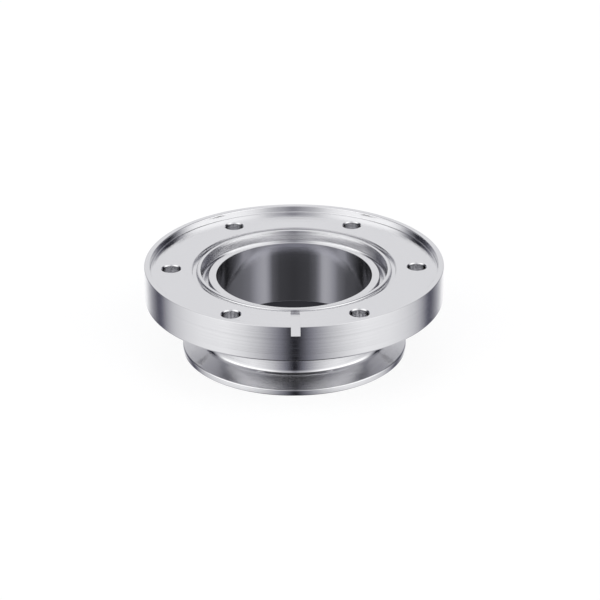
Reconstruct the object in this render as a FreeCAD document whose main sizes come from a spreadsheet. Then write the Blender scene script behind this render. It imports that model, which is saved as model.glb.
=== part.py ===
import FreeCAD, Part
import os

import Sketcher

# Process adapter of stainless steel, turned from one bar: a bolting flange with a raised rim
# on top, a short neck, and a clamp ferrule below. It stands on the ferrule's sealing face.
# The origin is the centre of that face, +Z runs up the axis to the flange, and the drain
# slot points along -Y, midway between two bolt holes.

NODE = "adapter_body"

# Driving sizes in millimetres and degrees. Radial sizes run from the bore outwards, heights
# run up from the ferrule's sealing face, and depths run down from the bolting face.
SIZES = (
    # Flow path
    ("bore_dia", 73.0),
    ("bore_flare", 4.0),            # added to the radius, for a pipe bore of 81
    ("flare_height", 5.7),
    # Sealing face, from the bore outwards
    ("lip_width", 3.5),
    ("gasket_groove_width", 3.75),
    ("ring_width", 1.95),
    ("leak_groove_width", 2.1),
    ("lip_drop", 3.3),
    ("gasket_groove_depth", 6.0),
    ("leak_groove_depth", 1.5),
    ("drain_slot_width", 4.2),
    # Bolting flange, which comes out 140 across with its holes on a circle of 115
    ("bolt_land", 9.7),
    ("edge_land", 12.5),
    ("rim_width", 2.75),
    ("rim_height", 3.0),
    ("flange_thickness", 17.0),
    ("bolt_hole_dia", 8.4),
    ("bolt_hole_chamfer", 0.5),
    ("bolt_hole_count", 6),
    # Neck
    ("neck_wall", 6.5),
    ("flange_back_height", 26.0),
    # Clamp ferrule, which comes out 106 across
    ("clamp_land", 10.0),
    ("ferrule_rim_height", 2.85),
    ("ferrule_bevel", 20.0),
    ("clamp_groove_inset", 4.5),
    ("clamp_groove_mouth", 3.8),
    ("clamp_groove_floor", 1.4),
    ("clamp_groove_depth", 1.6),
    # Corner radii of the neck, and edge breaks
    ("bevel_fillet", 3.0),
    ("root_fillet", 2.0),
    ("gasket_groove_corner", 0.5),
    ("flange_back_chamfer", 0.6),
    ("ferrule_chamfer", 0.5),
    ("rim_chamfer", 0.25),
    # How far a cutting profile starts outside the metal
    ("overrun", 1.0),
)

# Radii that several features share
BORE_R = "Sizes.bore_dia / 2"
PIPE_R = BORE_R + " + Sizes.bore_flare"
LIP_R = BORE_R + " + Sizes.lip_width"
RING_IN_R = LIP_R + " + Sizes.gasket_groove_width"
RING_OUT_R = RING_IN_R + " + Sizes.ring_width"
LEAK_R = RING_OUT_R + " + Sizes.leak_groove_width"
BOLT_R = LEAK_R + " + Sizes.bolt_land"
FLANGE_R = BOLT_R + " + Sizes.edge_land"
RECESS_R = FLANGE_R + " - Sizes.rim_width"
NECK_R = BORE_R + " + Sizes.neck_wall"
FERRULE_R = NECK_R + " + Sizes.clamp_land"
CLAMP_GROOVE_R = FERRULE_R + " - Sizes.clamp_groove_inset"

# Heights that several features share
FLOOR = "0"
RIM_Z = "Sizes.ferrule_rim_height"
BEVEL_Z = RIM_Z + " + Sizes.clamp_land * tan(Sizes.ferrule_bevel * 1deg)"
BACK_Z = "Sizes.flange_back_height"
TOP_Z = BACK_Z + " + Sizes.flange_thickness"
FACE_Z = TOP_Z + " - Sizes.rim_height"
LIP_Z = FACE_Z + " - Sizes.lip_drop"
GASKET_FLOOR_Z = FACE_Z + " - Sizes.gasket_groove_depth"
LEAK_FLOOR_Z = FACE_Z + " - Sizes.leak_groove_depth"

# Where a cut into the sealing face starts
ABOVE_FACE = FACE_Z + " + Sizes.overrun"
INSIDE_BORE = BORE_R + " - Sizes.overrun"

# Sketcher numbers the points of a piece of geometry from one, and its own X axis below zero
START, END, CENTRE = range(1, 4)
X_AXIS = -START

NEAR = 1e-4


def sizes_sheet(doc):
    """Keep every driving size in the sheet, each under its own name."""
    sheet = doc.addObject("Spreadsheet::Sheet", "Sizes")
    for row, (name, value) in enumerate(SIZES, start=1):
        sheet.set(f"A{row}", name)
        sheet.set(f"B{row}", str(value))
        sheet.setAlias(f"B{row}", name)
    doc.recompute()


def number(item, expression):
    """The present value of an expression on the sheet's names."""
    value = item.evalExpression(expression)
    return float(getattr(value, "Value", value))


def new_sketch(body, name, role, height=None):
    """An empty sketch on one of the body's origin planes, or parallel to it at a height."""
    plane = next(item for item in body.Origin.OriginFeatures if item.Role == role)
    sketch = body.newObject("Sketcher::SketchObject", name)
    sketch.AttachmentSupport = (plane, [""])
    sketch.MapMode = "FlatFace"
    if height:
        sketch.setExpression("AttachmentOffset.Base.z", height)
    return sketch


def dimension(sketch, kind, geometry, expression):
    """Drive one dimension of the sketch from the sheet."""
    index = sketch.addConstraint(Sketcher.Constraint(kind, *geometry, number(sketch, expression)))
    name = f"{kind}_{index}"
    sketch.renameConstraint(index, name)
    sketch.setExpression(f"Constraints.{name}", expression)


def place_point(sketch, geometry, point, across, along):
    """Hold a point at its distances from the sketch's origin."""
    for kind, expression in (("DistanceX", across), ("DistanceY", along)):
        if expression == FLOOR:
            sketch.addConstraint(Sketcher.Constraint("PointOnObject", geometry, point, X_AXIS))
        elif expression is not None:
            dimension(sketch, kind, (X_AXIS, START, geometry, point), expression)


def round_corner(sketch, line, radius):
    """Round the corner where a line starts. The corner's own point and dimensions stay."""
    arc = sketch.GeometryCount
    sketch.fillet(line, START, number(sketch, radius), True, True)
    dimension(sketch, "Radius", (arc,), radius)


def closed_outline(sketch, corners, rounded=()):
    """A closed outline of straight lines through corners given as pairs of expressions.

    A corner that shares a coordinate with the one before it is held by a horizontal or
    vertical line, and its other coordinate by a dimension. Rounded lists the places of the
    corners that get a radius.
    """
    points = [FreeCAD.Vector(number(sketch, across), number(sketch, along), 0)
              for across, along in corners]
    last = len(corners) - 1
    for index, point in enumerate(points):
        sketch.addGeometry(Part.LineSegment(point, points[(index + 1) % len(points)]), False)
    for index in range(len(corners)):
        following = 0 if index == last else index + 1
        sketch.addConstraint(Sketcher.Constraint("Coincident", index, END, following, START))
    for index, (across, along) in enumerate(corners):
        before = corners[index - 1] if index else (None, None)
        if across == before[0]:
            sketch.addConstraint(Sketcher.Constraint("Vertical", index - 1))
        if along == before[1]:
            sketch.addConstraint(Sketcher.Constraint("Horizontal", index - 1))
        place_point(sketch, index, START,
                    None if across == before[0] else across,
                    None if along == before[1] else along)
    for index, radius in rounded:
        round_corner(sketch, index, radius)


def turned(body, name, kind, sketch):
    """Turn a sketch on the XZ plane right round the axis, as metal or as a cut."""
    feature = body.newObject(kind, name)
    feature.Profile = (sketch, [""])
    feature.ReferenceAxis = (sketch, ["V_Axis"])
    feature.Angle = 360.0
    body.Document.recompute()
    return feature


def turned_blank(body):
    """The turned form before its grooves: flared bore, ferrule, bevel, neck, flange and rim."""
    sketch = new_sketch(body, "blank_outline", "XZ_Plane")
    closed_outline(sketch, (
        (PIPE_R, FLOOR),
        (FERRULE_R, FLOOR),
        (FERRULE_R, RIM_Z),
        (NECK_R, BEVEL_Z),
        (NECK_R, BACK_Z),
        (FLANGE_R, BACK_Z),
        (FLANGE_R, TOP_Z),
        (RECESS_R, TOP_Z),
        (RECESS_R, FACE_Z),
        (BORE_R, FACE_Z),
        (BORE_R, "Sizes.flare_height"),
    ), rounded=((3, "Sizes.bevel_fillet"), (4, "Sizes.root_fillet")))
    turned(body, "turned_blank", "PartDesign::Revolution", sketch)


def gasket_seat(body):
    """Drop the lip below the bolting face and sink the gasket groove behind it."""
    sketch = new_sketch(body, "gasket_seat_outline", "XZ_Plane")
    closed_outline(sketch, (
        (INSIDE_BORE, ABOVE_FACE),
        (INSIDE_BORE, LIP_Z),
        (LIP_R, LIP_Z),
        (LIP_R, GASKET_FLOOR_Z),
        (RING_IN_R, GASKET_FLOOR_Z),
        (RING_IN_R, ABOVE_FACE),
    ))
    turned(body, "gasket_seat", "PartDesign::Groove", sketch)


def leak_groove(body):
    """The narrow groove that catches a leak past the gasket, outside the thin ring."""
    sketch = new_sketch(body, "leak_groove_outline", "XZ_Plane")
    closed_outline(sketch, (
        (RING_OUT_R, ABOVE_FACE),
        (RING_OUT_R, LEAK_FLOOR_Z),
        (LEAK_R, LEAK_FLOOR_Z),
        (LEAK_R, ABOVE_FACE),
    ))
    turned(body, "leak_groove", "PartDesign::Groove", sketch)


def clamp_groove(body):
    """The groove in the ferrule's sealing face, where the bead of a clamp gasket sits."""
    sketch = new_sketch(body, "clamp_groove_outline", "XZ_Plane")
    mouth_in = CLAMP_GROOVE_R + " - Sizes.clamp_groove_mouth / 2"
    mouth_out = CLAMP_GROOVE_R + " + Sizes.clamp_groove_mouth / 2"
    floor_in = CLAMP_GROOVE_R + " - Sizes.clamp_groove_floor / 2"
    floor_out = CLAMP_GROOVE_R + " + Sizes.clamp_groove_floor / 2"
    depth = "Sizes.clamp_groove_depth"
    closed_outline(sketch, (
        (mouth_in, "-Sizes.overrun"),
        (mouth_out, "-Sizes.overrun"),
        (mouth_out, FLOOR),
        (floor_out, depth),
        (floor_in, depth),
        (mouth_in, FLOOR),
    ))
    turned(body, "clamp_groove", "PartDesign::Groove", sketch)


def round_edges(shape, radius, height):
    """Names of the full circles about the axis at a radius and a height."""
    names = []
    for index, edge in enumerate(shape.Edges, start=1):
        curve = edge.Curve
        if not isinstance(curve, Part.Circle):
            continue
        centre = curve.Center
        on_axis = abs(centre.x) < NEAR and abs(centre.y) < NEAR
        if on_axis and abs(centre.z - height) < NEAR and abs(curve.Radius - radius) < NEAR:
            names.append(f"Edge{index}")
    return names


def break_edges(body, name, size, corners):
    """Chamfer the turned edges at the given radii and heights."""
    base = body.Tip
    names = []
    for radius, height in corners:
        found = round_edges(base.Shape, number(body, radius), number(body, height))
        if not found:
            raise ValueError(f"{name} finds no edge at {radius}, {height}")
        names.extend(found)
    chamfer = body.newObject("PartDesign::Chamfer", name)
    chamfer.Base = (base, names)
    chamfer.setExpression("Size", size)
    body.Document.recompute()


def turned_edges(body):
    """The edge breaks that the turning tool leaves."""
    break_edges(body, "gasket_groove_corners", "Sizes.gasket_groove_corner",
                ((LIP_R, GASKET_FLOOR_Z), (RING_IN_R, GASKET_FLOOR_Z)))
    break_edges(body, "flange_back_edge", "Sizes.flange_back_chamfer", ((FLANGE_R, BACK_Z),))
    break_edges(body, "ferrule_edges", "Sizes.ferrule_chamfer",
                ((FERRULE_R, RIM_Z), (FERRULE_R, FLOOR)))
    break_edges(body, "rim_edges", "Sizes.rim_chamfer",
                ((FLANGE_R, TOP_Z), (RECESS_R, TOP_Z)))


def bolt_holes(body):
    """Plain through holes for the fixing screws, countersunk a little at the bolting face."""
    sketch = new_sketch(body, "bolt_hole_centre", "XY_Plane", FACE_Z)
    middle = FreeCAD.Vector(number(sketch, BOLT_R), 0, 0)
    radius = number(sketch, "Sizes.bolt_hole_dia / 2")
    sketch.addGeometry(Part.Circle(middle, FreeCAD.Vector(0, 0, 1), radius), False)
    place_point(sketch, 0, CENTRE, BOLT_R, FLOOR)
    dimension(sketch, "Diameter", (0,), "Sizes.bolt_hole_dia")
    body.Document.recompute()
    hole = body.newObject("PartDesign::Hole", "bolt_hole")
    hole.Profile = (sketch, [""])
    body.Document.recompute()
    hole.DepthType = "ThroughAll"
    hole.setExpression("Diameter", "Sizes.bolt_hole_dia")
    hole.HoleCutType = "Countersink"
    hole.HoleCutCountersinkAngle = 90.0
    hole.setExpression("HoleCutDiameter", "Sizes.bolt_hole_dia + 2 * Sizes.bolt_hole_chamfer")
    body.Document.recompute()
    circle = body.newObject("PartDesign::PolarPattern", "bolt_circle")
    circle.Originals = [hole]
    circle.Axis = (sketch, ["N_Axis"])
    circle.Angle = 360.0
    circle.setExpression("Occurrences", "Sizes.bolt_hole_count")
    body.Tip = circle
    body.Document.recompute()


def drain_slot(body):
    """The slot that leads from the leak groove out through the bolting face and the rim."""
    sketch = new_sketch(body, "drain_slot_outline", "XY_Plane", TOP_Z)
    left = "-Sizes.drain_slot_width / 2"
    right = "Sizes.drain_slot_width / 2"
    inner = "-(" + RING_OUT_R + " + Sizes.leak_groove_width / 2)"
    outer = "-(" + FLANGE_R + " + Sizes.overrun)"
    closed_outline(sketch, ((left, outer), (right, outer), (right, inner), (left, inner)))
    slot = body.newObject("PartDesign::Pocket", "drain_slot")
    slot.Profile = (sketch, [""])
    slot.setExpression("Length", "Sizes.rim_height + Sizes.leak_groove_depth")
    body.Document.recompute()


def check(doc, body):
    """Stop if a feature failed, cut nothing or left the body in pieces."""
    for item in doc.Objects:
        if "Invalid" in item.State or "Error" in item.State:
            raise ValueError(f"{item.Label} failed: {item.State}")
    volume = None
    for item in body.Group:
        if not item.isDerivedFrom("PartDesign::Feature"):
            continue
        if volume is not None and abs(item.Shape.Volume - volume) < NEAR:
            raise ValueError(f"{item.Label} changes nothing")
        volume = item.Shape.Volume
    if body.Shape.isNull() or not body.Shape.isValid() or len(body.Shape.Solids) != 1:
        raise ValueError(f"{body.Label} is not one valid solid")


def main():
    doc = FreeCAD.newDocument("process_adapter")
    sizes_sheet(doc)
    body = doc.addObject("PartDesign::Body", NODE)
    body.Label = NODE
    turned_blank(body)
    gasket_seat(body)
    leak_groove(body)
    clamp_groove(body)
    turned_edges(body)
    bolt_holes(body)
    drain_slot(body)
    doc.recompute()
    check(doc, body)
    os.makedirs("parts", exist_ok=True)
    body.Shape.exportStep(f"parts/{NODE}.step")


main()
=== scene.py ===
import math

import bpy
from mathutils import Matrix


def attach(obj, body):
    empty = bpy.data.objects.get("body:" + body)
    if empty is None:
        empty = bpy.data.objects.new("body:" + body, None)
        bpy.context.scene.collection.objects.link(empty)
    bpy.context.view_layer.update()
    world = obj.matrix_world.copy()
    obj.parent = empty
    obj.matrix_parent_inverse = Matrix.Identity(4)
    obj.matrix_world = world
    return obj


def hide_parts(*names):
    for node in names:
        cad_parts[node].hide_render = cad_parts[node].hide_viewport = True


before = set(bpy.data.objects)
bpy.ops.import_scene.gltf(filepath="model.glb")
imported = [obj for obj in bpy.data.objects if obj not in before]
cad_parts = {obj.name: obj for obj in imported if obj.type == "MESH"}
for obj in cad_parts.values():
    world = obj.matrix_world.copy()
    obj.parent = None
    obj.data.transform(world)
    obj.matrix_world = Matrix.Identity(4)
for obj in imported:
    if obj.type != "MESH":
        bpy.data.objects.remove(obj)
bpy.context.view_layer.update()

# The looks of a turned stainless steel process adapter. Lengths are in metres and the frame is
# the model's own: the origin is the middle of the ferrule's sealing face, +Z runs up the bore,
# and the drain slot points along -Y.

MM = 0.001

# Radii of the turned form, from the bore outwards
BORE_R = 36.5 * MM
LIP_R = 40.0 * MM
PIPE_R = 40.5 * MM
NECK_R = 43.0 * MM
RING_IN_R = 43.75 * MM
RING_OUT_R = 45.7 * MM
LEAK_FLOOR_R = 47.6 * MM
LEAK_R = 47.8 * MM
FERRULE_R = 53.0 * MM
BOLT_CIRCLE_R = 57.5 * MM
RECESS_R = 67.25 * MM
FLANGE_R = 70.0 * MM

# Heights above the ferrule's sealing face
BEVEL_ANGLE = math.radians(20)
FERRULE_RIM_Z = 2.85 * MM
FLARE_Z = 5.7 * MM
BEVEL_Z = FERRULE_RIM_Z + (FERRULE_R - NECK_R) * math.tan(BEVEL_ANGLE)
BACK_Z = 26.0 * MM
GASKET_FLOOR_Z = 34.0 * MM
LIP_Z = 36.7 * MM
LEAK_FLOOR_Z = 38.5 * MM
FACE_Z = 40.0 * MM
TOP_Z = 43.0 * MM

# Groove of the ferrule's sealing face
CLAMP_GROOVE_R = 48.5 * MM
CLAMP_GROOVE_MOUTH = 3.8 * MM
CLAMP_GROOVE_FLOOR = 1.4 * MM
CLAMP_GROOVE_DEPTH = 1.6 * MM

# Holes and slot, and how far their cutters run past the faces
HOLE_R = 4.2 * MM
HOLE_CHAMFER = 0.5 * MM
HOLE_COUNT = 6
SLOT_WIDTH = 4.2 * MM
OVERRUN = 1.0 * MM

# How far each edge is rounded back from its corner, from the ferrule up and over to the bore,
# and last the many small ones
CLAMP_GROOVE_ROUND = 0.3 * MM
FERRULE_ROUND = 0.5 * MM
BEVEL_ROUND = 2.1 * MM
ROOT_ROUND = 2.0 * MM
BACK_ROUND = 0.7 * MM
RIM_OUT_ROUND = 0.25 * MM
RIM_IN_ROUND = 0.5 * MM
RECESS_ROUND = 0.4 * MM
RING_OUT_ROUND = 0.8 * MM
RING_IN_ROUND = 0.25 * MM
GASKET_OUT_ROUND = 1.6 * MM
GASKET_IN_ROUND = 0.35 * MM
EDGE_ROUND = 0.15 * MM

# How finely the form is turned and rounded, and how its corners and top faces are found
TURN_STEPS = 360
HOLE_STEPS = 72
WELL_STEPS = 96
ROUND_STEPS = 3
LARGE_ROUND = 1.0 * MM
LARGE_ROUND_STEPS = 6
ROUND_PROFILE = 0.5
SMOOTH_ANGLE = math.radians(32)
NEAR = 0.003 * MM
FACING_UP = 0.9

# The steel's finish. The tool's fine rings and broader bands are counted along the profile, where
# a step up counts for less than a step out, so that no slope loses them. They are shallowest in
# the bore.
RINGS_PER_MM = 5.0
BANDS_PER_MM = 0.9
STEP_UP = 0.83
BAND_HEIGHT = 0.6
MARK_DEPTH = 0.02 * MM
BORE_MARKS = 0.15
CLOUDS_PER_METRE = 90.0
CLOUD_SHARE = 0.6
DARK_STEEL = (0.76, 0.76, 0.77, 1.0)
LIGHT_STEEL = (0.82, 0.82, 0.83, 1.0)
STEEL_ROUGH = 0.07
BAND_ROUGH = 0.06
GASKET_FLOOR_ROUGH = 0.12
BACK_ROUGH = 0.16

# Where the two rougher faces begin and end
GASKET_FLOOR_RADII = (LIP_R + 0.2 * MM, RING_IN_R)
GASKET_FLOOR_HEIGHTS = (BACK_Z + 1.0 * MM, GASKET_FLOOR_Z + 0.03 * MM)
BACK_RADII = (NECK_R + 1.5 * MM, FLANGE_R + 1.0 * MM)
BACK_HEIGHTS = (BACK_Z - 0.2 * MM, BACK_Z + 0.1 * MM)

# Camera, at the photograph's angle and distance
CAMERA_AT = (-7.7 * MM, -927.5 * MM, 459.4 * MM)
CAMERA_DOWN = math.radians(25.183)
CAMERA_TURN = math.radians(-0.644)
CAMERA_ROLL = math.radians(-0.235)
LENS_MM = 130.4
SENSOR_MM = 36.0
CLIP_NEAR = 0.05
CLIP_FAR = 50.0

# The studio round the adapter, in degrees from straight in front to straight behind: how bright
# its walls are, as a part of a white one. They pass from the dark gap at the camera over the side
# lights to a dark gap at each back corner and the white backdrop.
WHITE_WALL = 1.42

# The upper walls, where the lights hang
HIGH_FRONT = (
    (0, 0.2),
    (6, 0.34),
    (16, 0.46),
    (30, 0.82),
    (44, 0.96),
)
HIGH_WALLS = (
    *HIGH_FRONT,
    (84, 0.98),
    (95, 0.8),
    (107, 0.29),
    (117, 0.015),
    (131, 0.03),
    (143, 0.15),
    (155, 0.42),
    (168, 0.56),
    (180, 0.6),
)

# What is left of them where light has gone from wall to wall in a groove: the back is dark, but
# for the middle of the backdrop
GROOVE_WALLS = (
    *HIGH_FRONT,
    (84, 0.96),
    (95, 0.6),
    (105, 0.15),
    (117, 0.01),
    (140, 0.02),
    (155, 0.06),
    (168, 0.14),
    (175, 0.8),
    (180, 1.0),
)

# The lower walls, with a darker gap at the camera, and the table, which is dark in front
LOW_WALLS = (
    (0, 0.0),
    (3, 0.02),
    (12, 0.165),
    (28, 0.46),
    (40, 0.62),
    (54, 0.71),
    (76, 0.66),
    (92, 0.57),
    (105, 0.45),
    (115, 0.27),
    (123, 0.08),
    (129, 0.06),
    (143, 0.28),
    (156, 0.6),
    (165, 0.72),
    (180, 0.7),
)
TABLE = (
    (0, 0.0),
    (34, 0.0),
    (46, 0.02),
    (62, 0.15),
    (80, 0.34),
    (101, 0.41),
    (122, 0.42),
    (139, 0.14),
    (152, 0.3),
    (180, 0.4),
)
CEILING = (0.5, 0.5, 0.52, 1.0)

# Where one part of the studio gives way to the next: how far up or down a ray points, from 0 for
# a level one to 1 for a plumb one
UPPER_WALLS_UP = (-0.1, 0.3)
CEILING_UP = (0.8, 0.98)
TABLE_DOWN = (0.45, 0.75)
GROOVE_UP = (-0.15, 0.0)

# The blue that is added to dark walls, as a part of their level, and the most that there is of
# it, which fades out towards white
WALL_BLUE = 0.33
WELL_BLUE = 0.12
MOST_BLUE = 0.035

# Above these numbers of mirrorings a ray counts as mirrored twice, or three times
TWICE = 1.5
THREE_TIMES = 2.5

# The well under the bore, in the same degrees: painted shade of the table under the adapter, and a
# painted strip of lamp light at each side, where left and right differ a little, and what the
# bore's wall shows of it when it mirrors it a second time
WELL_FRONT = (
    (0, 0.03),
    (30, 0.04),
    (45, 0.08),
)
WELL_LEFT = (
    *WELL_FRONT,
    (53, 0.16),
    (60, 0.29),
    (68, 0.31),
    (76, 0.28),
    (86, 0.21),
    (97, 0.115),
    (118, 0.06),
    (138, 0.053),
    (158, 0.035),
    (180, 0.04),
)
WELL_RIGHT = (
    *WELL_FRONT,
    (53, 0.21),
    (60, 0.29),
    (68, 0.28),
    (76, 0.25),
    (86, 0.19),
    (97, 0.13),
    (118, 0.1),
    (138, 0.09),
    (158, 0.07),
    (180, 0.04),
)
WELL_AGAIN = (
    (0, 0.24),
    (12, 0.26),
    (26, 0.14),
    (41, 0.09),
    (60, 0.05),
    (79, 0.028),
    (97, 0.01),
    (110, 0.01),
    (126, 0.06),
    (180, 0.04),
)
WELL_R = 48.0 * MM
WELL_DEEP = 46.0 * MM
WELL_DROP = 0.1 * MM

# Where the light in the well changes: from left to right, down its wall, from the middle of its
# floor to the sides, and from the front of its floor to the back
WELL_LEFT_TO_RIGHT = (-1.0 * MM, 1.0 * MM)
WELL_DOWN = (18.0 * MM, 38.0 * MM)
WELL_OUT = (10.0 * MM, 32.0 * MM)
WELL_BACK = (-30.0 * MM, -10.0 * MM)

# How bright its floor is at the front's two sides, between them, and at the back: a painted pool of
# light in front and painted shade behind
WELL_LIT = (0.42, 0.42, 0.462, 1.0)
WELL_DIM = (0.252, 0.252, 0.294, 1.0)
WELL_DARK = (0.025, 0.025, 0.03, 1.0)

# The floor, the darker part of it that shows through the bore, and the soft edge between them,
# which the well's floor has too. Under the bore the floor has no glow, so that it is darker there:
# painted shade where the glow stops at the bore's radius, with the real light falling on it within
FLOOR_SIZE = 8.0
FLOOR_DROP = 0.05 * MM
FLOOR_MATT = (0.2, 0.2, 0.2, 1.0)
FLOOR_GLOW = 0.86
BORE_FLOOR = (0.5, 0.5, 0.52, 1.0)
SOFT_EDGE = 1.0 * MM
WHITE = (1.0, 1.0, 1.0, 1.0)


class Shade:
    """A shader socket with arithmetic, so that a material's maths reads as plain expressions."""

    def __init__(self, tree, socket):
        self.tree = tree
        self.socket = socket

    def math(self, operation, *others):
        """This value and the others through one Math node."""
        return self.tree.add("ShaderNodeMath", {"operation": operation}, [self, *others])

    def __add__(self, other):
        return self.math("ADD", other)

    def __mul__(self, other):
        return self.math("MULTIPLY", other)

    def __truediv__(self, other):
        return self.math("DIVIDE", other)

    def __rsub__(self, other):
        return self.tree.add("ShaderNodeMath", {"operation": "SUBTRACT"}, [other, self])

    __radd__ = __add__
    __rmul__ = __mul__


class Tree:
    """The node tree of one material or world."""

    def __init__(self, owner):
        owner.use_nodes = True
        self.nodes = owner.node_tree.nodes
        self.links = owner.node_tree.links
        self.nodes.clear()

    def add(self, kind, settings=None, values=(), output=0):
        """Add a node. Its settings come first, then values or links, by place or by name."""
        made = self.nodes.new(kind)
        for name, value in (settings or {}).items():
            if name == "stops":
                set_stops(made.color_ramp, value)
            else:
                setattr(made, name, value)
        pairs = values.items() if isinstance(values, dict) else enumerate(values)
        for key, value in pairs:
            if isinstance(value, Shade):
                self.links.new(value.socket, made.inputs[key])
            else:
                made.inputs[key].default_value = value
        return Shade(self, made.outputs[output]) if made.outputs else None

    def smooth(self, value, low, high):
        """0 where the value is under low, 1 where it is over high, with a soft change between."""
        return self.add("ShaderNodeMapRange", {"interpolation_type": "SMOOTHSTEP"},
                        [value, low, high, 0.0, 1.0])

    def blend(self, factor, first, second):
        """One colour over another."""
        return self.add("ShaderNodeMix", {"data_type": "RGBA"},
                        {0: factor, 6: first, 7: second}, output=2)

    def place(self, kind_of_place):
        """The x, y and z of a point or direction."""
        point = self.add("ShaderNodeTexCoord", output=kind_of_place)
        return [self.add("ShaderNodeSeparateXYZ", None, [point], output=axis) for axis in range(3)]

    def walls(self, way, levels, blue):
        """Light from all round, by its levels: white where it is brightest, bluish where dark."""
        stops = [(degrees / 180, (level, level, level + min(blue * level, MOST_BLUE * (1 - level))))
                 for degrees, level in levels]
        return self.add("ShaderNodeValToRGB", {"stops": stops}, [way])

    def light_path(self, kind_of_ray):
        """What has happened to the ray on its way here."""
        return self.add("ShaderNodeLightPath", output=kind_of_ray)


def set_stops(ramp, stops):
    """A colour ramp's stops: each a place from 0 to 1 and a colour."""
    while len(ramp.elements) > 1:
        ramp.elements.remove(ramp.elements[-1])
    for index, (place, colour) in enumerate(stops):
        stop = ramp.elements[0] if index == 0 else ramp.elements.new(place)
        stop.position = place
        stop.color = (*colour, 1.0)


def from_axis(x, y):
    """How far a point is from the adapter's axis."""
    return (x * x + y * y).math("SQRT")


def from_front(x, y):
    """How far round from straight in front a direction or place is: 0 there, 1 behind."""
    return x.math("ABSOLUTE").math("ARCTAN2", 0.0 - y) / math.pi


# The turned form

def pick_only(piece):
    """Make the piece the only one selected, and the active one."""
    bpy.ops.object.select_all(action="DESELECT")
    bpy.context.view_layer.objects.active = piece
    piece.select_set(True)


def pick_top(piece):
    """Go into edit mode with only the piece's top face selected."""
    bpy.ops.object.mode_set(mode="EDIT")
    bpy.ops.mesh.select_mode(type="FACE")
    bpy.ops.mesh.select_all(action="DESELECT")
    bpy.ops.object.mode_set(mode="OBJECT")
    for face in piece.data.polygons:
        face.select = face.normal.z > FACING_UP
    bpy.ops.object.mode_set(mode="EDIT")


def turn(name, outline, steps):
    """Turn a closed form: a ring at the outline's first corner is drawn from corner to corner."""
    bpy.ops.object.select_all(action="DESELECT")
    at_r, at_z = outline[0]
    bpy.ops.mesh.primitive_circle_add(vertices=steps, radius=at_r, location=(0, 0, at_z))
    piece = bpy.context.object
    piece.name = name
    piece.data.name = name
    bpy.ops.object.transform_apply(location=True)
    bpy.ops.object.mode_set(mode="EDIT")
    bpy.ops.mesh.select_mode(type="VERT")
    bpy.ops.mesh.select_all(action="SELECT")
    for radius, height in (*outline[1:], outline[0]):
        bpy.ops.mesh.extrude_region_move(TRANSFORM_OT_translate={"value": (0, 0, height - at_z)})
        widen = radius / at_r
        bpy.ops.transform.resize(value=(widen, widen, 1), center_override=(0, 0, 0))
        at_r, at_z = radius, height
    bpy.ops.mesh.select_all(action="SELECT")
    bpy.ops.mesh.remove_doubles(threshold=NEAR)
    bpy.ops.mesh.normals_make_consistent(inside=False)
    bpy.ops.object.mode_set(mode="OBJECT")
    return piece


def round_ring(piece, radius, height, offset):
    """Round the edge that runs round the piece at one radius and height."""
    pick_only(piece)
    bpy.ops.object.mode_set(mode="EDIT")
    bpy.ops.mesh.select_mode(type="EDGE")
    bpy.ops.mesh.select_all(action="DESELECT")
    bpy.ops.object.mode_set(mode="OBJECT")
    on_ring = [abs(math.hypot(v.co.x, v.co.y) - radius) < NEAR and abs(v.co.z - height) < NEAR
               for v in piece.data.vertices]
    for edge in piece.data.edges:
        edge.select = all(on_ring[v] for v in edge.vertices)
    bpy.ops.object.mode_set(mode="EDIT")
    segments = LARGE_ROUND_STEPS if offset > LARGE_ROUND else ROUND_STEPS
    bpy.ops.mesh.bevel(offset=offset, segments=segments, profile=ROUND_PROFILE,
                        affect="EDGES")
    bpy.ops.object.mode_set(mode="OBJECT")


def turn_blank():
    """The adapter's turned form, with the small roundings of each edge."""
    groove_in = CLAMP_GROOVE_R - CLAMP_GROOVE_MOUTH / 2
    groove_out = CLAMP_GROOVE_R + CLAMP_GROOVE_MOUTH / 2
    floor_in = CLAMP_GROOVE_R - CLAMP_GROOVE_FLOOR / 2
    floor_out = CLAMP_GROOVE_R + CLAMP_GROOVE_FLOOR / 2
    corners = (
        (PIPE_R, 0, EDGE_ROUND),
        (groove_in, 0, EDGE_ROUND),
        (floor_in, CLAMP_GROOVE_DEPTH, CLAMP_GROOVE_ROUND),
        (floor_out, CLAMP_GROOVE_DEPTH, CLAMP_GROOVE_ROUND),
        (groove_out, 0, EDGE_ROUND),
        (FERRULE_R, 0, FERRULE_ROUND),
        (FERRULE_R, FERRULE_RIM_Z, FERRULE_ROUND),
        (NECK_R, BEVEL_Z, BEVEL_ROUND),
        (NECK_R, BACK_Z, ROOT_ROUND),
        (FLANGE_R, BACK_Z, BACK_ROUND),
        (FLANGE_R, TOP_Z, RIM_OUT_ROUND),
        (RECESS_R, TOP_Z, RIM_IN_ROUND),
        (RECESS_R, FACE_Z, RECESS_ROUND),
        (LEAK_R, FACE_Z, EDGE_ROUND),
        (LEAK_FLOOR_R, LEAK_FLOOR_Z, EDGE_ROUND),
        (RING_OUT_R, LEAK_FLOOR_Z, EDGE_ROUND),
        (RING_OUT_R, FACE_Z, RING_OUT_ROUND),
        (RING_IN_R, FACE_Z, RING_IN_ROUND),
        (RING_IN_R, GASKET_FLOOR_Z, GASKET_OUT_ROUND),
        (LIP_R, GASKET_FLOOR_Z, GASKET_IN_ROUND),
        (LIP_R, LIP_Z, EDGE_ROUND),
        (BORE_R, LIP_Z, EDGE_ROUND),
        (BORE_R, FLARE_Z, EDGE_ROUND),
    )
    piece = turn("turned_adapter", [corner[:2] for corner in corners], TURN_STEPS)
    for radius, height, offset in corners:
        round_ring(piece, radius, height, offset)
    return piece


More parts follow.
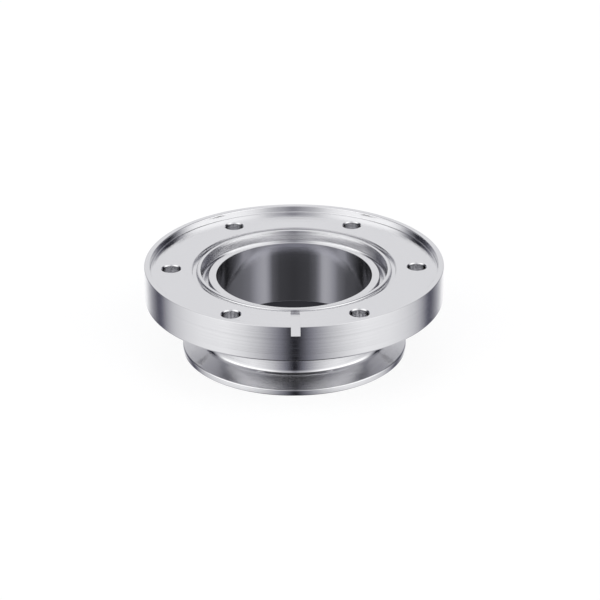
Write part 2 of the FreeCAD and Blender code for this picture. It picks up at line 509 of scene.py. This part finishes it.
def make_drill(angle):
    """A drill as wide as a bolt hole, that spreads into the countersink at the bolting face."""
    bpy.ops.object.select_all(action="DESELECT")
    low = BACK_Z - OVERRUN
    high = FACE_Z - HOLE_CHAMFER
    centre = (BOLT_CIRCLE_R * math.cos(angle), BOLT_CIRCLE_R * math.sin(angle), (low + high) / 2)
    bpy.ops.mesh.primitive_cylinder_add(vertices=HOLE_STEPS, radius=HOLE_R, depth=high - low,
                                        location=centre)
    drill = bpy.context.object
    bpy.ops.object.transform_apply(location=True)
    pick_top(drill)
    rise = HOLE_CHAMFER + OVERRUN
    spread = (HOLE_R + rise) / HOLE_R
    bpy.ops.mesh.extrude_region_move(TRANSFORM_OT_translate={"value": (0, 0, rise)})
    bpy.ops.transform.resize(value=(spread, spread, 1), center_override=centre)
    bpy.ops.object.mode_set(mode="OBJECT")
    return drill


def make_slot_cutter():
    """A block as wide as the drain slot, from the middle of the leak groove out past the rim."""
    bpy.ops.object.select_all(action="DESELECT")
    inner = (RING_OUT_R + LEAK_R) / 2
    outer = FLANGE_R + OVERRUN
    top = TOP_Z + OVERRUN
    bpy.ops.mesh.primitive_cube_add(
        size=1, location=(0, -(outer + inner) / 2, (top + LEAK_FLOOR_Z) / 2),
        scale=(SLOT_WIDTH, outer - inner, top - LEAK_FLOOR_Z))
    cutter = bpy.context.object
    bpy.ops.object.transform_apply(location=True, scale=True)
    return cutter


def cut_away(piece, cutters):
    """Take the cutters' forms out of the piece."""
    bpy.ops.object.select_all(action="DESELECT")
    for cutter in cutters:
        cutter.select_set(True)
    bpy.context.view_layer.objects.active = cutters[0]
    bpy.ops.object.join()
    cutter = bpy.context.object
    pick_only(piece)
    cut = piece.modifiers.new("cut", "BOOLEAN")
    cut.operation = "DIFFERENCE"
    cut.solver = "EXACT"
    cut.object = cutter
    bpy.ops.object.modifier_apply(modifier=cut.name)
    bpy.data.objects.remove(cutter, do_unlink=True)


def smooth_faces(piece):
    """Shade the turned faces smooth, with the flat faces kept flat beside their roundings."""
    pick_only(piece)
    bpy.ops.object.shade_smooth_by_angle(angle=SMOOTH_ANGLE)
    weighted = piece.modifiers.new("weighted", "WEIGHTED_NORMAL")
    weighted.keep_sharp = True
    bpy.ops.object.modifier_apply(modifier=weighted.name)


def make_adapter():
    """The turned, drilled and slotted adapter, in place of its plain CAD form."""
    piece = turn_blank()
    drills = [make_drill(math.radians(360 / HOLE_COUNT * index)) for index in range(HOLE_COUNT)]
    cut_away(piece, [*drills, make_slot_cutter()])
    smooth_faces(piece)
    piece.data.materials.clear()
    piece.data.materials.append(turned_steel())
    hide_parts("adapter_body")
    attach(piece, "root")


# Finish

def within(value, low, high):
    """1 where the value is between low and high, 0 elsewhere."""
    return value.math("GREATER_THAN", low) * value.math("LESS_THAN", high)


def turned_steel():
    """Fine-turned stainless steel: the tool's rings run round the axis on every face, finest in
    the bore. The gasket groove's floor and the flange's back are left a little rougher."""
    material = bpy.data.materials.new("turned_stainless")
    tree = Tree(material)
    x, y, z = tree.place("Object")
    radius = from_axis(x, y)
    along = (radius + z * STEP_UP) / MM
    rings = tree.add("ShaderNodeTexNoise", {"noise_dimensions": "1D"},
                     {"W": along * RINGS_PER_MM, "Scale": 1.0, "Detail": 1.0, "Roughness": 0.5})
    bands = tree.add("ShaderNodeTexNoise", {"noise_dimensions": "1D"},
                     {"W": along * BANDS_PER_MM, "Scale": 1.0, "Detail": 2.0, "Roughness": 0.6})
    cloud = tree.add("ShaderNodeTexNoise", None, {"Scale": CLOUDS_PER_METRE, "Detail": 3.0})
    tint = tree.blend(CLOUD_SHARE * cloud + (1 - CLOUD_SHARE) * bands, DARK_STEEL, LIGHT_STEEL)
    coarse = tree.add("ShaderNodeMapRange", None, [radius, PIPE_R, NECK_R, BORE_MARKS, 1.0])
    bump = tree.add("ShaderNodeBump", None,
                    {"Strength": 1.0, "Distance": MARK_DEPTH,
                     "Height": (rings + BAND_HEIGHT * bands) * coarse})
    gasket_floor = within(radius, *GASKET_FLOOR_RADII) * within(z, *GASKET_FLOOR_HEIGHTS)
    back = within(radius, *BACK_RADII) * within(z, *BACK_HEIGHTS)
    rough = (STEEL_ROUGH + BAND_ROUGH * bands
             + GASKET_FLOOR_ROUGH * gasket_floor + BACK_ROUGH * back)
    steel = tree.add("ShaderNodeBsdfPrincipled", None,
                     {"Base Color": tint, "Metallic": 1.0, "Roughness": rough, "Normal": bump})
    tree.add("ShaderNodeOutputMaterial", None, [steel])
    return material


# Studio

def light_world():
    """White walls with a dark gap at the camera and one at each back corner."""
    world = bpy.data.worlds.new("studio")
    bpy.context.scene.world = world
    tree = Tree(world)
    x, y, z = tree.place("Generated")
    way = from_front(x, y)
    high, low, table, groove = (tree.walls(way, levels, WALL_BLUE)
                                for levels in (HIGH_WALLS, LOW_WALLS, TABLE, GROOVE_WALLS))
    walls = tree.blend(tree.smooth(z, *UPPER_WALLS_UP), low, high)
    walls = tree.blend(tree.smooth(0.0 - z, *TABLE_DOWN), walls, table)
    walls = tree.blend(tree.smooth(z, *CEILING_UP), walls, CEILING)
    from_groove = tree.light_path("Glossy Depth").math("GREATER_THAN", THREE_TIMES)
    walls = tree.blend(from_groove * tree.smooth(z, *GROOVE_UP), walls, groove)
    studio = tree.add("ShaderNodeBackground", None, [walls, WHITE_WALL])
    white = tree.add("ShaderNodeBackground", None, [WHITE, 1.0])
    seen = tree.add("ShaderNodeMixShader", None,
                    [tree.light_path("Is Camera Ray"), studio, white])
    tree.add("ShaderNodeOutputWorld", None, [seen])


def well_light():
    """The well's painted light: glowing strips on its wall, and a floor with a painted pool of
    light in front and painted shade behind.
    """
    material = bpy.data.materials.new("painted_shade_and_light_well")
    tree = Tree(material)
    x, y, z = tree.place("Object")
    depth = 0.0 - z
    way = from_front(x, y)
    left, right, again = (tree.walls(way, levels, WELL_BLUE)
                          for levels in (WELL_LEFT, WELL_RIGHT, WELL_AGAIN))
    once = tree.blend(tree.smooth(x, *WELL_LEFT_TO_RIGHT), left, right)
    again = tree.blend(tree.smooth(depth, *WELL_DOWN), again, WELL_LIT)
    seen_again = tree.light_path("Glossy Depth").math("GREATER_THAN", TWICE)
    walls = tree.blend(seen_again, once, again)
    side = tree.smooth(x.math("ABSOLUTE"), *WELL_OUT)
    front = tree.blend(side, WELL_DIM, WELL_LIT)
    bottom = tree.blend(tree.smooth(y, *WELL_BACK), front, WELL_DARK)
    on_bottom = tree.smooth(depth, WELL_DEEP - SOFT_EDGE, WELL_DEEP)
    glow = tree.add("ShaderNodeEmission", None, [tree.blend(on_bottom, walls, bottom), WHITE_WALL])
    tree.add("ShaderNodeOutputMaterial", None, [glow])
    return material


def sink_well():
    """An open well below the floor under the bore, which only the bore's wall shows. It glows with
    painted shade and painted strips of light, in place of the shaded table under the adapter.
    """
    bpy.ops.object.select_all(action="DESELECT")
    bpy.ops.mesh.primitive_cylinder_add(vertices=WELL_STEPS, radius=WELL_R, depth=WELL_DEEP,
                                        location=(0, 0, -WELL_DROP - WELL_DEEP / 2))
    well = bpy.context.object
    well.name = "well"
    bpy.ops.object.transform_apply(location=True)
    pick_top(well)
    bpy.ops.mesh.delete(type="FACE")
    bpy.ops.object.mode_set(mode="OBJECT")
    well.data.materials.append(well_light())
    # Hidden from the camera, from diffuse light and from shadows, it is only a painted reflection
    # in the steel
    for ray in ("visible_camera", "visible_diffuse", "visible_shadow"):
        setattr(well, ray, False)


def lay_floor():
    """A plain white floor, with painted shade under the bore. The steel looks through it to the
    studio's walls and the well.
    """
    bpy.ops.object.select_all(action="DESELECT")
    bpy.ops.mesh.primitive_plane_add(size=FLOOR_SIZE, location=(0, 0, -FLOOR_DROP))
    floor = bpy.context.object
    floor.name = "floor"
    bpy.ops.object.transform_apply(location=True)
    material = bpy.data.materials.new("white_floor")
    tree = Tree(material)
    x, y, z = tree.place("Object")
    # Under the bore the floor has no glow: painted shade there, with only the real light falling on
    # it
    outside = tree.smooth(from_axis(x, y), PIPE_R, PIPE_R + SOFT_EDGE)
    bore_shade = tree.add("ShaderNodeBsdfDiffuse", None, [BORE_FLOOR])
    matt = tree.add("ShaderNodeBsdfDiffuse", None, [FLOOR_MATT])
    glow = tree.add("ShaderNodeEmission", None, [WHITE, FLOOR_GLOW])
    lit = tree.add("ShaderNodeAddShader", None, [matt, glow])
    top = tree.add("ShaderNodeMixShader", None, [outside, bore_shade, lit])
    clear = tree.add("ShaderNodeBsdfTransparent")
    seen = tree.add("ShaderNodeMixShader", None, [tree.light_path("Is Glossy Ray"), top, clear])
    tree.add("ShaderNodeOutputMaterial", None, [seen])
    floor.data.materials.append(material)


def set_camera():
    """The camera at the photograph's place, with its slight turn and roll."""
    lens = bpy.data.cameras.new("camera")
    lens.sensor_width = SENSOR_MM
    lens.lens = LENS_MM
    lens.clip_start = CLIP_NEAR
    lens.clip_end = CLIP_FAR
    camera = bpy.data.objects.new("camera", lens)
    turned = Matrix.Rotation(CAMERA_TURN, 4, "Z")
    tilted = Matrix.Rotation(math.pi / 2 - CAMERA_DOWN, 4, "X")
    rolled = Matrix.Rotation(CAMERA_ROLL, 4, "Z")
    camera.matrix_world = Matrix.Translation(CAMERA_AT) @ turned @ tilted @ rolled
    bpy.context.scene.collection.objects.link(camera)
    bpy.context.scene.camera = camera


bpy.context.scene.view_settings.view_transform = "Standard"
set_camera()
light_world()
lay_floor()
sink_well()
make_adapter()
